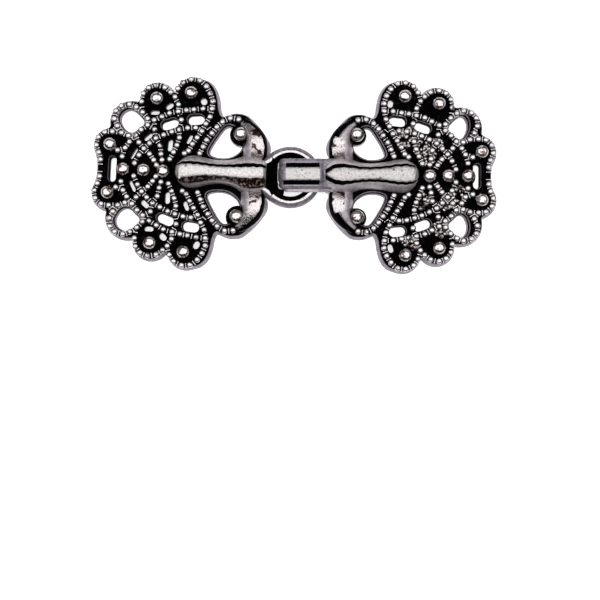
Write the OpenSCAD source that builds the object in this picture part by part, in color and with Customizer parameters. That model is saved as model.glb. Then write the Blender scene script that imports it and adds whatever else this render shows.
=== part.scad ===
// Hook and eye clasp: two cast filigree fans, one with a ring and one with a folded hook.
// The clasp is fastened, lies on its flat back, and its long axis runs along X.

/* [Fans] */
// Length of the eye half's fan, from the nose of its bar to its tip
eye_fan_len = 27.2; // [25:0.1:32]
// Length of the hook half's fan, from the nose of its bar to its tip
hook_fan_len = 26.1; // [24:0.1:30]
// Width of a fan across its two side lobes
fan_w = 29.4; // [28:0.1:33]
// Thickness of the casting's floor
plate_t = 1.9; // [1.5:0.1:2.3]
// Radius of a domed lobe at the foot of its wall
lobe_r = 2.87; // [2.75:0.01:3.1]
// Radius of an open loop at the foot of its wall
loop_r = 3.3; // [3.15:0.01:3.5]
// Width of the skirt by which the foot of the outer wall stands out
skirt_w = 0.3; // [0.2:0.05:0.4]
// Height of the skirt
skirt_h = 0.8; // [0.4:0.1:1.2]

/* [Relief] */
// Width of a raised rib
rib_w = 0.86; // [0.6:0.02:1]
// Height of the ribs above the floor
rib_h = 0.6; // [0.3:0.05:1]
// Distance from the upper edge of the wall to the middle of the rib along it
rib_inset = 0.54; // [0.5:0.01:0.7]
// Diameter of a polished dome
dome_d = 2.1; // [1.6:0.05:2.4]
// Height of a dome above the floor
dome_h = 1.15; // [1:0.05:1.3]
// Radius of the disc under a dome on the axis
cup_r = 1.45; // [1.3:0.05:1.6]
// Radius of the curl that ends a scroll arm
curl_r = 1.95; // [1.7:0.05:2.2]

/* [Bar and arms] */
// Width of the bar at its fat end
bar_w = 5.4; // [4.4:0.1:6]
// Height of the bar's crown above the flat back
bar_h = 4.8; // [4.4:0.1:5.4]
// Width of a scroll arm at its middle
arm_w = 2.8; // [2.2:0.1:3]
// Height of a scroll arm's crown above the flat back
arm_h = 3.7; // [3.2:0.1:4.2]

/* [Ring] */
// Bore of the ring
ring_bore = 6; // [5.6:0.1:7]
// Diameter of the ring's wire
wire_d = 1.8; // [1.4:0.05:2]
// Depth of the web that cuts off the ring's bore under the nose of the bar
neck_web = 0.8; // [0.6:0.1:1.2]
// Width of the neck where its struts reach the bar
neck_w = 4; // [3.6:0.1:4.4]

/* [Hook] */
// Width of the tongue
tongue_w = 4.7; // [3.8:0.1:5]
// Thickness of the tongue
tongue_t = 1.1; // [0.9:0.05:1.3]
// Thickness of the bend that goes down through the ring
bend_t = 1; // [0.8:0.05:1.2]
// Thickness of the lip under the ring
lip_t = 0.9; // [0.8:0.05:1.2]
// Distance from the ring's middle to the outside of the bend
bend_reach = 1.85; // [1.7:0.05:2]
// Room between the hook and the ring's wire
hook_gap = 0.15; // [0.1:0.05:0.3]
// Room between the outside of the ring and the hook half's body
body_gap = 0.5; // [0.4:0.05:1]
// Room for the wire in the mouth between the lip and the body
mouth_gap = 0.4; // [0.2:0.05:0.8]
// Bevel round the tongue's top
tongue_bevel = 0.35; // [0.2:0.05:0.5]

/* [Pose] */
// Turn of the eye half about its ring, out of line with the hook half
eye_swing = 3; // [0:0.5:6]

/* [Hidden] */
metal = "dimgray";
$fn = 48;
eps = 0.01;

// Heights above the flat back
rib_top = plate_t + rib_h;
ring_z = lip_t + hook_gap + wire_d / 2;
tongue_z = ring_z + wire_d / 2 + hook_gap;
tongue_top = tongue_z + tongue_t;
tall = 3 * max(bar_h, tongue_top);

// Length by which the neck and the hook run on into their bodies
root = 3;

// Distances from the ring's middle
ring_r = (ring_bore + wire_d) / 2;
eye_nose = ring_bore / 2;
hook_nose = ring_r + wire_d / 2 + body_gap;

// Domes: place along the fan and out from its axis, in percent of its length and half width
TIP_LOBE = [91, 25];
SIDE_LOBE = [66, 75];
NECK_LOBE = [46, 82.5];
CURL = [18, 43];
AXIS_DOMES = [[83, 0], [71.5, 0], [60.5, 0]];
LOBES = [TIP_LOBE, SIDE_LOBE, NECK_LOBE];
LOOP = [80.2, 50];

// Straight and curved stretches of the plate's outline, same columns as the domes
TIP_EDGE = [[98.9, 0], [99.2, 8.5], [100.2, 15]];
NECK_FLANK = [[41, 99.5], [36, 94.5], [32.4, 85.5], [30.6, 76], [30, 68], [28.6, 61.5]];
EAR = [[27, 61.5], [22, 63.2], [16.5, 62.2], [12.6, 58.2], [7.6, 50], [3.5, 41],
    [1, 33.5], [1.2, 25], [2.5, 19], [0, 8.5]];

// Ribs, same columns, from end to end
RIBS = [
    [[98.3, 16.5], [96.6, 8.1], [96.5, 0]],
    [[71.5, 53.5], [71, 46.5], [74.6, 41.9], [77.5, 35.8], [80.6, 28.1], [83, 18.5], [84, 8.5]],
    [[67.5, 53], [66.5, 43.9], [66, 35.5], [69.5, 28.3], [72.7, 21.9], [76, 12.5], [79.5, 4.5]],
    [[71.5, 24.5], [69, 16.9], [66, 11.2], [63.5, 5.5]],
    [[66, 34.5], [63.7, 26.7], [62.7, 17.5], [62, 6.5]],
    [[74, 51.5], [67.5, 52.8], [63.2, 56.7], [54, 62.1], [45, 65.7], [34.5, 67.9]],
    [[72, 44.5], [67, 38], [61.5, 37.8], [53, 44.3], [46, 46.8], [39, 45.9]],
    [[52.2, 46.5], [52.7, 35.8], [53.9, 28], [55.7, 20.5], [59, 8.5]],
    [[52.7, 43.5], [52.2, 53.9], [53.9, 63], [55, 72.5], [55.5, 82.5]],
    [[34.9, 70.5], [35.9, 59.2], [38.2, 51.4], [42.6, 36.6], [45, 29.9], [47.4, 17.5]],
    [[40.7, 17.5], [39, 28], [37, 35], [32, 49.3], [28.7, 55.1], [24, 59.1], [19, 58.5], [14.5, 53.5]],
];

// Ribs round the lobes: middle, first and last angle of the arc, then the tail's places
LOBE_RIBS = [
    [TIP_LOBE, -45, 103, [[85.9, 37.3], [81.6, 34.7], [77.5, 35.8]]],
    [SIDE_LOBE, -28, 120, [[59.5, 82.5], [56.2, 76.2], [54.5, 69.3], [54.1, 62.1]]],
    [NECK_LOBE, 10, 122, [[39.3, 89], [36.6, 82.4], [35.2, 74.5], [34.9, 67.6]]],
    [LOOP, -28, 114, [[74.4, 59.1], [71.5, 53.1], [70.5, 46.5]]],
];

// Gaps in the lace: place, then length and width in percent of a rib's width, then angle
EYE_GAPS = [
    [[58.8, 49.8], 300, 155, -20],
    [[44.1, 56.5], 290, 162, -6],
    [[78.3, 16.5], 220, 52, 62],
    [[70.3, 36.3], 175, 75, -45],
    [[67.3, 61.5], 163, 64, 0],
    [[59.5, 68.5], 134, 87, 20],
    [[39.8, 75], 140, 105, 60],
    [[57.6, 29.5], 210, 87, 100],
    [[47.8, 35.5], 175, 70, -70],
];
// The hook half is cast less cleanly, and only its two widest gaps are open
HOOK_GAPS = [
    [[57.6, 51], 300, 155, -20],
    [[42.9, 57.5], 290, 162, -6],
];
// The slot at the tip, the round gap of a loop and the teardrop gap behind an arm
SLOT = [[93.4, 0], [93.4, 10.5], [91.8, 12.6], [89, 12.6], [87.6, 10.5], [87.6, 0]];
LOOP_GAP = [[86, 50], [85, 58.6], [80.6, 62.2], [75.8, 57.5], [74.1, 50], [77.6, 43],
    [82.8, 42.2]];
TEARDROP = [[26, 50], [30.5, 39.7], [35, 24.5], [33.5, 19.9], [27, 18.5], [21.5, 21.7], [17.6, 29],
    [17.8, 38.5], [21, 47.5]];

// The bar's sections: place along the fan, half width and height above the floor, percent
BAR = [[53.8, 22, 35], [53, 55, 60], [51, 82, 80], [48, 96, 94], [44.5, 100, 100], [40, 93, 99],
    [34.5, 83, 97], [26, 77, 96], [18.7, 90, 97], [14, 102, 98], [9.5, 95, 94], [5, 68, 80],
    [2, 46, 62], [0, 30, 46]];
// The arm's sections: place, then half width and height above the floor, percent
ARM = [[[9, 9], 78, 62], [[7.4, 21], 92, 88], [[7, 32], 100, 100], [[9, 41.5], 96, 92],
    [[13, 49], 78, 66], [[17.5, 54.5], 50, 42]];
// Half of a rounded section: share of its half width, share of its height
CROWN = [[1, 0], [0.94, 0.42], [0.72, 0.8], [0.4, 0.97]];

// A place on the fan in millimetres
function place(row, size) = [row[0] * size, row[1] * fan_w / 2] / 100;
function places(rows, size) = [for (row = rows) place(row, size)];
function flip(points) = [for (i = [len(points) - 1:-1:0]) [points[i].x, -points[i].y]];
function both(points) = concat(points, flip(points));

// One point of a smooth curve between b and c, and a curve through all the knots
function bend_point(a, b, c, d, t) =
    b + (c - a) * t / 2 + (2 * a - 5 * b + 4 * c - d) * t * t / 2
    + (3 * b - a - 3 * c + d) * t * t * t / 2;
function smooth(k, steps = 3) = let (last = len(k) - 1) concat(
    [for (i = [0:last - 1], j = [0:steps - 1])
        bend_point(k[max(i - 1, 0)], k[i], k[i + 1], k[min(i + 2, last)], j / steps)],
    [k[last]]);
function ring_of(k, steps = 3) = let (n = len(k))
    [for (i = [0:n - 1], j = [0:steps - 1])
        bend_point(k[(i + n - 1) % n], k[i], k[(i + 1) % n], k[(i + 2) % n], j / steps)];
function arc(middle, r, from, to, steps = 10) =
    [for (i = [0:steps]) let (a = from + (to - from) * i / steps) middle + r * [cos(a), sin(a)]];

// A band of even width along a path
function side_step(p, i) = let (v = p[min(i + 1, len(p) - 1)] - p[max(i - 1, 0)]) [-v.y, v.x] / norm(v);
function band(p, w) = concat(
    [for (i = [0:len(p) - 1]) p[i] + side_step(p, i) * w / 2],
    [for (i = [len(p) - 1:-1:0]) p[i] - side_step(p, i) * w / 2]);
function drawn_in(p, inset) = [for (i = [0:len(p) - 1]) p[i] + side_step(p, i) * inset];

// A slot with round ends
function slot_points(middle, long, wide, angle) =
    [for (end = [0, 180], a = [-90:30:90]) let (b = a + end + angle, h = (long - wide) / 2)
        middle + h * [cos(angle + end), sin(angle + end)] + wide / 2 * [cos(b), sin(b)]];

module both_sides() {
    children();
    mirror([0, 1, 0]) children();
}

// The plate's outline, drawn in from the foot of the wall
module outline(size, inset) {
    polygon(both(concat(
        drawn_in(places(TIP_EDGE, size), inset),
        places([TIP_LOBE, [90.5, 42], LOOP, [76.3, 69], SIDE_LOBE, [56, 85], NECK_LOBE], size),
        drawn_in(smooth(places(NECK_FLANK, size)), inset),
        drawn_in(smooth(places(EAR, size)), inset))));
    both_sides() {
        for (lobe = LOBES) translate(place(lobe, size)) circle(lobe_r - inset);
        translate(place(LOOP, size)) circle(loop_r - inset);
    }
}

module rib_lines(size) {
    both_sides() {
        for (rib = RIBS) polygon(band(smooth(places(rib, size)), rib_w));
        for (rib = LOBE_RIBS) {
            r = (rib[0] == LOOP ? loop_r : lobe_r) - skirt_w - rib_inset;
            path = concat(arc(place(rib[0], size), r, rib[1], rib[2], 6), places(rib[3], size));
            polygon(band(smooth(path, 2), rib_w));
        }
    }
}

module gaps(size, lace) {
    polygon(both(places(SLOT, size)));
    both_sides() {
        polygon(ring_of(places(LOOP_GAP, size)));
        polygon(ring_of(places(TEARDROP, size)));
        for (gap = lace)
            polygon(slot_points(place(gap[0], size), gap[1] * rib_w / 100, gap[2] * rib_w / 100, gap[3]));
    }
}

module dome() {
    translate([0, 0, plate_t + dome_h - dome_d / 2]) sphere(d = dome_d);
}

// Rows of [middle, sideways unit vector, half width, height], joined by flat facets
module loft(rows, foot) {
    section = concat(CROWN, [[0, 1]], [for (i = [len(CROWN) - 1:-1:0]) [-CROWN[i][0], CROWN[i][1]]],
        [[-1, -1], [1, -1]]);
    n = len(section);
    points = [for (row = rows, s = section) let (p = row[0] + row[1] * row[2] * s[0])
        [p.x, p.y, s[1] < 0 ? foot : plate_t + row[3] * s[1]]];
    polyhedron(points, concat(
        [[for (i = [n - 1:-1:0]) i]],
        [for (r = [0:len(rows) - 2], i = [0:n - 1])
            [r * n + i, r * n + (i + 1) % n, (r + 1) * n + (i + 1) % n, (r + 1) * n + i]],
        [[for (i = [0:n - 1]) (len(rows) - 1) * n + i]]));
}

module bar(size) {
    loft([for (row = BAR) [place([row[0], 0], size), [0, 1], bar_w / 2 * row[1] / 100,
        (bar_h - plate_t) * row[2] / 100]], plate_t / 2);
}

module arm(size) {
    path = [for (row = ARM) place(row[0], size)];
    loft([for (i = [0:len(ARM) - 1]) [path[i], -side_step(path, i), arm_w / 2 * ARM[i][1] / 100,
        (arm_h - plate_t) * ARM[i][2] / 100]], plate_t / 2);
}

// A whole fan, with the nose of its bar at the origin and its tip along +X
module fan(size, lace) {
    difference() {
        union() {
            linear_extrude(skirt_h) outline(size, 0);
            linear_extrude(plate_t) outline(size, skirt_w);
            translate([0, 0, plate_t / 2]) linear_extrude(rib_top - plate_t / 2) rib_lines(size);
        }
        translate([0, 0, -plate_t]) linear_extrude(tall) gaps(size, lace);
    }
    for (spot = AXIS_DOMES) translate(place(spot, size)) {
        cylinder(h = plate_t, r = cup_r);
        dome();
    }
    both_sides() {
        for (spot = LOBES) translate(place(spot, size)) dome();
        translate(place(CURL, size)) {
            cylinder(h = plate_t, r = curl_r);
            dome();
        }
        arm(size);
    }
    bar(size);
}

// The ring round the origin, with its web and struts towards +X
module eye_ring() {
    translate([0, 0, ring_z]) rotate_extrude() translate([ring_r, 0]) circle(d = wire_d);
    wall = ring_bore / 2 - neck_web;
    translate([0, 0, ring_z - wire_d * 0.4]) linear_extrude(wire_d * 0.8)
        difference() {
            polygon(both([[eye_nose + root, neck_w / 2], [eye_nose + neck_web * 1.5, neck_w / 2],
                [ring_r * 0.6, ring_r * 0.82], [wall, ring_r * 0.7]]));
            intersection() {
                circle(d = ring_bore);
                translate([wall - ring_bore, 0]) square(2 * ring_bore - eps, center = true);
            }
        }
}

// The hook's side view, with the ring's middle at zero and the body towards +X
function hook_side() = let (
    lip_end = hook_nose - wire_d - mouth_gap,
    outer = bend_t,
    inner = bend_t / 3)
    concat(
        [[hook_nose + root, tongue_z], [hook_nose + root, tongue_top]],
        arc([outer - bend_reach, tongue_top - outer], outer, 90, 180, 6),
        arc([lip_t * 0.8 - bend_reach, lip_t * 0.8], lip_t * 0.8, 180, 270, 4),
        arc([lip_end - lip_t / 2, lip_t / 2], lip_t / 2, -90, 90, 6),
        arc([inner - bend_reach + bend_t, lip_t + inner], inner, 270, 180, 3),
        arc([inner - bend_reach + bend_t, tongue_z - inner], inner, 180, 90, 3));

module hook() {
    half = tongue_w / 2;
    bevel = tongue_bevel;
    through = ring_bore / 2 - 1.6 * hook_gap;
    difference() {
        intersection() {
            translate([0, half, 0]) rotate([90, 0, 0]) linear_extrude(tongue_w) polygon(hook_side());
            linear_extrude(tall) union() {
                intersection() {
                    circle(through);
                    translate([-through, -half]) square([through, tongue_w]);
                }
                translate([-eps, -half]) square([2 * hook_nose, tongue_w]);
            }
        }
        for (side = [-1, 1]) translate([hook_nose, side * half, tongue_top]) rotate([45, 0, 0])
            cube([4 * hook_nose, bevel * sqrt(2), bevel * sqrt(2)], center = true);
    }
}

// The block that joins the hook to the body under the nose of the bar
module hook_root() {
    translate([hook_nose, 0, 0]) linear_extrude(tongue_z + eps)
        polygon(both([[0, tongue_w / 2 - tongue_bevel], [tongue_bevel, tongue_w / 2], [root, tongue_w / 2]]));
}

// Both halves stand round the ring's middle, which lies here from the middle of the whole clasp
function turned(p) = [-p.x * cos(eye_swing) + p.y * sin(eye_swing), p.x * sin(eye_swing) + p.y * cos(eye_swing)];
function edge_spots(size, nose) = [for (lobe = LOBES, side = [-1, 1])
    let (p = place(lobe, size)) [p.x + nose, side * p.y]];
EYE_SPOTS = [for (p = edge_spots(eye_fan_len, eye_nose)) turned(p)];
HOOK_SPOTS = edge_spots(hook_fan_len, hook_nose);
ALL_SPOTS = concat(EYE_SPOTS, HOOK_SPOTS);
middle_x = (max([for (p = ALL_SPOTS) p.x]) + min([for (p = ALL_SPOTS) p.x])) / 2;
middle_y = (max([for (p = ALL_SPOTS) p.y]) + min([for (p = ALL_SPOTS) p.y])) / 2;
ring_middle = [-middle_x, -middle_y, 0];

module eye_half() {
    color(metal) translate(ring_middle) rotate([0, 0, 180 - eye_swing]) {
        translate([eye_nose, 0, 0]) fan(eye_fan_len, EYE_GAPS);
        eye_ring();
    }
}

module hook_half() {
    color(metal) translate(ring_middle) {
        translate([hook_nose, 0, 0]) fan(hook_fan_len, HOOK_GAPS);
        hook_root();
        hook();
    }
}

eye_half();
hook_half();
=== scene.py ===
import math

import bpy
import numpy as np
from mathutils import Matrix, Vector, geometry


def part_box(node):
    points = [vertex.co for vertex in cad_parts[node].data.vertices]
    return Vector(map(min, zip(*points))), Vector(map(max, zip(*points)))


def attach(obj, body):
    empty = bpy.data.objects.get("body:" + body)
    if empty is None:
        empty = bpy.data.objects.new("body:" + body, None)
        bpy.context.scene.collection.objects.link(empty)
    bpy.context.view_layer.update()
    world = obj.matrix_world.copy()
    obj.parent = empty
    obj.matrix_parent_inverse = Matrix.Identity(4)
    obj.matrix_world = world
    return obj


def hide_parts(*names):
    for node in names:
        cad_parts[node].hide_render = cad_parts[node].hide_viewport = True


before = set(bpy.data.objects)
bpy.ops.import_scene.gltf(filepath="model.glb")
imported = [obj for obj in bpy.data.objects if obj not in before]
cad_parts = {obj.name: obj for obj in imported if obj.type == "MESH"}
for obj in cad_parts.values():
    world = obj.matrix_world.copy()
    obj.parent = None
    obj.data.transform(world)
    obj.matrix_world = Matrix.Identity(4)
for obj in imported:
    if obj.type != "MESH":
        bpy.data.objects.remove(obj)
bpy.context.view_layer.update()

# Sizes, in millimetres, and the eye half's swing in degrees
EYE_LEN, HOOK_LEN, FAN_W = 27.2, 26.1, 29.4
PLATE_T, LOBE_R, LOOP_R, RIB_W = 1.9, 2.87, 3.5, 0.86
DOME_R, CUP_R, EYE_CURL_R, HOOK_CURL_R = 1.05, 1.45, 1.85, 1.6
BAR_W, BAR_H, ARM_H = 5.4, 4.79, 3.7
RING_R, WIRE_R, RING_Z, RING_ASIDE = 3.83, 0.9, 1.95, -0.08
EYE_NOSE, HOOK_NOSE, SWING = 3.0, 5.3, 3.0
TONGUE_W, TONGUE_Z, TONGUE_TOP, LIP_T, LIP_END = 4.7, 3.0, 4.1, 0.9, 3.1
EYE_SHIFT, HOOK_SHIFT, TONGUE_ASIDE = (-0.05, 0.13), (0, 0.15), 0.2
# Millimetres in a metre
MM = 1000
# How softly lobes and ribs run together, how far ribs keep from the plate's edge, and the edge's point step
LOBE_MELT, RIB_MELT, RIB_BACK, EDGE_STEP = 0.12, 0.06, 0.46, 0.15

# Places in percent of a fan's length and of its half width, as in the part
TIP_LOBE, SIDE_LOBE, NECK_LOBE = (91, 25), (66, 75), (46, 82.5)
LOOP, CURL = (80.2, 50), (18, 43)
AXIS_DOMES = [(83, 0), (71.5, 0), (60.5, 0)]
LOBES = [TIP_LOBE, SIDE_LOBE, NECK_LOBE]
LOBE_LINE = [TIP_LOBE, (90.5, 42), LOOP, (76.3, 69), SIDE_LOBE, (56, 85), NECK_LOBE]
TIP_EDGE = [(98.9, 0), (99.2, 8.5), (100.2, 15)]
NECK_FLANK = [(41.8, 100.3), (37.6, 98), (34.3, 93), (32.1, 86.2), (30.6, 76), (30, 68), (28.6, 61.5)]
EAR = [(27.4, 63), (22, 66.2), (16, 65.2), (12, 60.5), (7.2, 51.5), (3.3, 42),
       (1, 33.5), (1.2, 25), (2.5, 19), (0, 8.5)]
# The ribs, by the places of their beads: round the lobes, then along and across the fan
RIBS = [
    [(34.9, 67.3), (34.8, 75), (36.4, 83), (38.8, 90), (42.7, 95.8), (47.4, 96.7), (52, 93), (54.6, 86.5),
     (56, 77.5), (53.8, 70), (53.7, 62.7)],
    [(56, 77.5), (58.5, 82.2), (62, 86.8), (66.9, 88.5), (71, 85.8), (73.9, 79.5), (74.6, 71), (73.7, 60)],
    [(90, 38.2), (87.5, 44.6), (89.3, 51.7), (88.7, 60.1), (85.9, 65.5), (81.3, 67.4), (77.4, 64.9),
     (73.7, 60), (70.7, 53.6), (70.6, 47), (74, 41.8), (77, 35.6), (80.2, 28.5), (82.4, 22), (83.8, 13)],
    [(77, 35.6), (81, 34.9), (85, 37.6), (90, 38.2), (94.3, 37.3), (97.8, 31.7), (98.6, 23.5), (97, 16.2),
     (95.9, 8.7), (95.8, 0)],
    [(34.9, 67.3), (40, 67), (45, 65.5), (49.2, 64.4), (53.7, 62.7), (58.6, 60.4), (62.7, 56.5), (67, 52.5),
     (70.7, 53.6)],
    [(34.9, 67.3), (35.8, 58.7), (37.9, 51.4), (39.9, 43.6), (42.4, 36.5), (44.8, 29.6), (46.8, 22.6),
     (49.1, 19.6)],
    [(40.5, 20.4), (38.8, 27.3), (37, 34.6), (34.2, 42), (31.6, 48.6), (28.6, 54.3), (24.3, 58.4),
     (19.6, 57.6), (15.5, 54.5), (12, 49)],
    [(39.9, 43.6), (43.5, 46.7), (48, 46), (52.6, 43.9), (56.8, 41.3), (61.2, 37.6), (65.5, 33.7),
     (68.9, 28.1), (71.9, 22.3), (74.5, 15.3), (76.8, 6.7)],
    [(53.7, 62.7), (51.7, 54.2), (52.6, 43.9), (52.3, 35.5), (53.5, 27.6), (55.2, 20.2), (57.1, 12.7)],
    [(67, 52.5), (66.4, 42.7), (65.5, 33.7), (63, 26.3), (62.2, 17.6), (61.4, 11.5)],
    [(77, 35.6), (74.9, 28.5), (71.9, 22.3), (68.6, 17), (66.1, 11), (64.4, 6)],
    [(70.6, 47), (66.4, 42.7)], [(87.5, 44.6), (85, 37.6)], [(34.2, 42), (37.9, 51.4)],
    [(82.4, 22), (86.6, 19.2)],
]
# Small openings: place, length and width in percent of a rib's, angle in degrees
EYE_GAPS = [
    ((58.4, 49.8), 300, 155, -20), ((43.8, 56), 290, 162, -6), ((77.5, 17), 220, 56, -62),
    ((70, 35), 175, 82, -42), ((67, 60.8), 170, 80, 0), ((58.9, 68.3), 150, 100, -40),
    ((39.8, 75), 140, 105, 60), ((57.4, 27.4), 210, 87, 92), ((46.7, 34.8), 175, 70, -66),
]
HOOK_GAPS = [((57.6, 51), 300, 155, -20), ((42.9, 57.5), 290, 162, -6), ((38.6, 75.5), 150, 90, 75)]
SLOT = [(91.2, 0), (91.2, 10.5), (90.4, 12.6), (88.6, 12.6), (87.6, 10.5), (87.6, 0)]
LOOP_GAP = [(86.4, 51.5), (85.2, 59.2), (81, 63), (76.8, 58.8), (73.5, 51), (76.2, 45.4), (79.4, 40.6),
            (83.4, 42.6)]
TEARDROP = [(26, 50), (30.5, 39.7), (35, 24.5), (33.5, 19.9), (27, 18.5), (21.5, 21.7), (17.6, 29),
            (17.8, 38.5), (21, 47.5)]
# A bar's sections: place, then half widths of foot and crown on either side, and height, percent
EYE_BAR = [(53.3, 16, 16, 8, 8, 50), (52.8, 36, 34, 20, 22, 74), (51.8, 56, 52, 28, 36, 88),
           (50.2, 74, 68, 33, 45, 95), (48, 90, 80, 36, 41, 98), (44.5, 99, 86, 37, 33, 100),
           (40.5, 96, 79, 36, 27, 100), (35.7, 87, 64, 33, 24, 99), (30.6, 81, 55, 30, 23, 98),
           (25.5, 82, 56, 30, 24, 97), (20.4, 93, 70, 31, 25, 97), (15.4, 112, 100, 34, 26, 97),
           (11.5, 118, 110, 37, 24, 96), (6.5, 107, 104, 39, 20, 94), (4, 99, 96, 39, 19, 91),
           (2.6, 86, 85, 38, 18, 80)]
HOOK_BAR = [(54.5, 16, 16, 8, 8, 50), (54, 36, 36, 22, 22, 74), (53, 55, 55, 32, 31, 88),
            (51.4, 73, 73, 40, 38, 95), (49.2, 87, 87, 45, 42, 98), (46, 95, 95, 46, 43, 100),
            (41, 92, 90, 43, 40, 100), (36, 84, 81, 36, 33, 99), (30, 77, 74, 31, 28, 98),
            (25, 75, 73, 31, 27, 97), (20, 81, 80, 33, 28, 97), (15, 98, 98, 37, 33, 97),
            (11, 112, 112, 38, 35, 96), (8, 118, 118, 36, 35, 95), (5, 112, 112, 28, 28, 93),
            (2.8, 102, 102, 18, 18, 90), (1.2, 94, 94, 8, 8, 86), (0.3, 90, 90, 3, 3, 80)]
# An arm's sections: place, foot outside and inside, crown, in millimetres, height in percent
ARM = [((9.4, 10), 1.4, 1.9, 0.7, 30), ((8.2, 19), 1.5, 2.2, 0.95, 78), ((7.8, 28), 1.5, 2.3, 0.95, 98),
       ((8.5, 36), 1.5, 2.0, 0.85, 98), ((10.8, 43.5), 1.35, 1.3, 0.65, 82),
       ((14, 50.5), 1.05, 0.75, 0.42, 50), ((17.5, 55.5), 0.75, 0.5, 0.24, 20)]
# A ridge's side from its foot to the crown's edge, then the crown: share across, share of the height
FLANK = [(0, 0), (0.12, 0.25), (0.36, 0.58), (0.56, 0.8), (0.71, 0.89), (1, 0.965)]
CROWN = [(0.66, 0.985), (0.33, 0.996), (0, 1)]

# The ring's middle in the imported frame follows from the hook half's box
low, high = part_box("hook_half")
RING_X = high[0] * MM - (HOOK_NOSE + TIP_LOBE[0] / 100 * HOOK_LEN + LOBE_R)
RING_Y = (low[1] + high[1]) / 2 * MM

# Walls from the floor up as (inset, height): the plate's and a rib's
PLATE_SIDE = [(0.1, 0), (0.01, 0.12), (0.03, 0.5), (0.14, 1.1), (0.28, 1.65), (0.42, PLATE_T)]
RIB_SIDE = [(0, 1.75), (0.04, 2.0), (0.1, 2.12)]
# Turned forms from the top down as (radius, height)
BEAD = [(0, 2.5), (0.19, 2.492), (0.31, 2.46), (0.41, 2.38), (0.47, 2.24), (0.48, 1.85)]
DOME = [(r, 2.15 + 0.9 * (1 - (r / 1.1) ** 2.7) ** 0.5) for r in
        (0, 0.13, 0.26, 0.39, 0.52, 0.64, 0.75, 0.85, 0.94, 1.01, 1.06, 1.09)] + [(1.1, 2.15), (1.09, 1.8)]
# A reel's sections: place along it, half width and top; then its foot, its edges' drop and its
# crown's share of the width
REEL = [(-0.42, 0.07, 2.2), (-0.35, 0.13, 2.31), (-0.15, 0.08, 2.34), (0.15, 0.08, 2.34),
        (0.35, 0.13, 2.31), (0.42, 0.07, 2.2)]
REEL_FOOT, REEL_EDGE, REEL_CROWN = 1.85, 0.1, 0.45
# The side of the discs under domes: inset and height
DISC_SIDE = [(0.45, PLATE_T + 0.02), (0.28, 1.65), (0.12, 1.1), (0.02, 0.5), (0.02, 0.2)]
# Points round a turned form, the ring and its wire, and a strut
DOME_SEG, DISC_SEG, BEAD_SEG, LUMP_SEG, RING_SEG, WIRE_SEG, TUBE_SEG = 32, 40, 12, 7, 96, 24, 20
# Steps between the knots of a line, a closed loop, a ridge and a rib, and from bead to bead
LINE_STEPS, LOOP_STEPS, RIDGE_STEPS, RIB_STEPS = 4, 5, 5, 6
# Room that beads, reels and lumps keep to the plate's edge and to each other, in millimetres
BEAD_ROOM, BEAD_GAP, REEL_ROOM, REEL_TO_BEAD, REEL_GAP = 0.25, 0.6, 0.4, 0.45, 0.35
FLOOD_ROOM, FLOOD_GAP, FLOOD_REACH = 0.3, 0.34, 1.25
# Room that they keep to the bar and the domes, and to an arm as a share of its foot
BAR_CLEAR, DOME_CLEAR, ARM_CLEAR = 0.25, 0.3, 0.4
# How far the domes by the neck sit towards the tip from their lobes' middles, and the hook half's others
NECK_NUDGE, HOOK_NUDGE = 0.26, 0.24
# A lump's radius and top, with the most that is added, and its side: share of the radius and drop
LUMP_R, LUMP_R_MORE, LUMP_TOP, LUMP_TOP_MORE, LUMP_SPREAD = 0.14, 0.24, 2.1, 0.22, 1.2
LUMP_SIDE = [(0, 0), (0.6, 0.03), (1, 0.16)]
# The lumps' places and sizes are scattered by the fractions of these sines' multiples
SCATTER, SCATTER_BY = 9871.3, (12.9898, 78.233, 37.719)
# Where the hook half's metal has flooded between the ribs
FLOOD_AT = [(46.5, 37), (56.5, 28), (65, 31), (57.5, -26), (71, -28), (77.5, -18), (50, -71), (68, -55),
            (52, 44), (60, 20)]
# A strut's line: place and rise over the ring's middle, and its radius at the two ends
STRUT = [(0.9, 3.72, 0), (2.3, 3.1, 0), (3.4, 2.35, 0.1), (4.6, 1.7, 0.3)]
STRUT_R = (0.8, 0.9)
# The painted highlight line and the painted dark reflection in black of the ring, in faces round its wire,
# and of a strut, in shares
RING_PAINTED_HIGHLIGHT, RING_PAINTED_DARK = (5, 6), range(5, 15)
STRUT_PAINTED_HIGHLIGHT, STRUT_PAINTED_DARK, STRUT_PAINTED_DARK_END = 0.2, 0.26, 0.6
# How far the web reaches under and over the ring's middle
WEB_UNDER, WEB_OVER = 0.72, 0.3
# Strips of the web: place across, edge by the hook and edge by the fan
WEB = [(3.2, 0.75, 0.8), (2.6, 0.95, 2.24), (2.2, 0.85, 3.2), (2.0, 0.82, 5.5), (1.88, 0.8, 5.5),
       (1.84, 1.3, 5.5), (1.72, 1.62, 5.5), (1.52, 1.76, 5.5), (1.3, 1.81, 5.5), (0.95, 1.82, 5.5),
       (0.72, 1.9, 5.5), (0.45, 1.93, 5.5), (0, 1.97, 5.5), (-0.7, 2.0, 5.5), (-2.0, 1.99, 5.5),
       (-2.2, 1.96, 3.2), (-2.42, 1.85, 2.67), (-2.6, 1.6, 2.24), (-2.64, 0.95, 2.14), (-3.2, 0.75, 0.8)]
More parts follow.
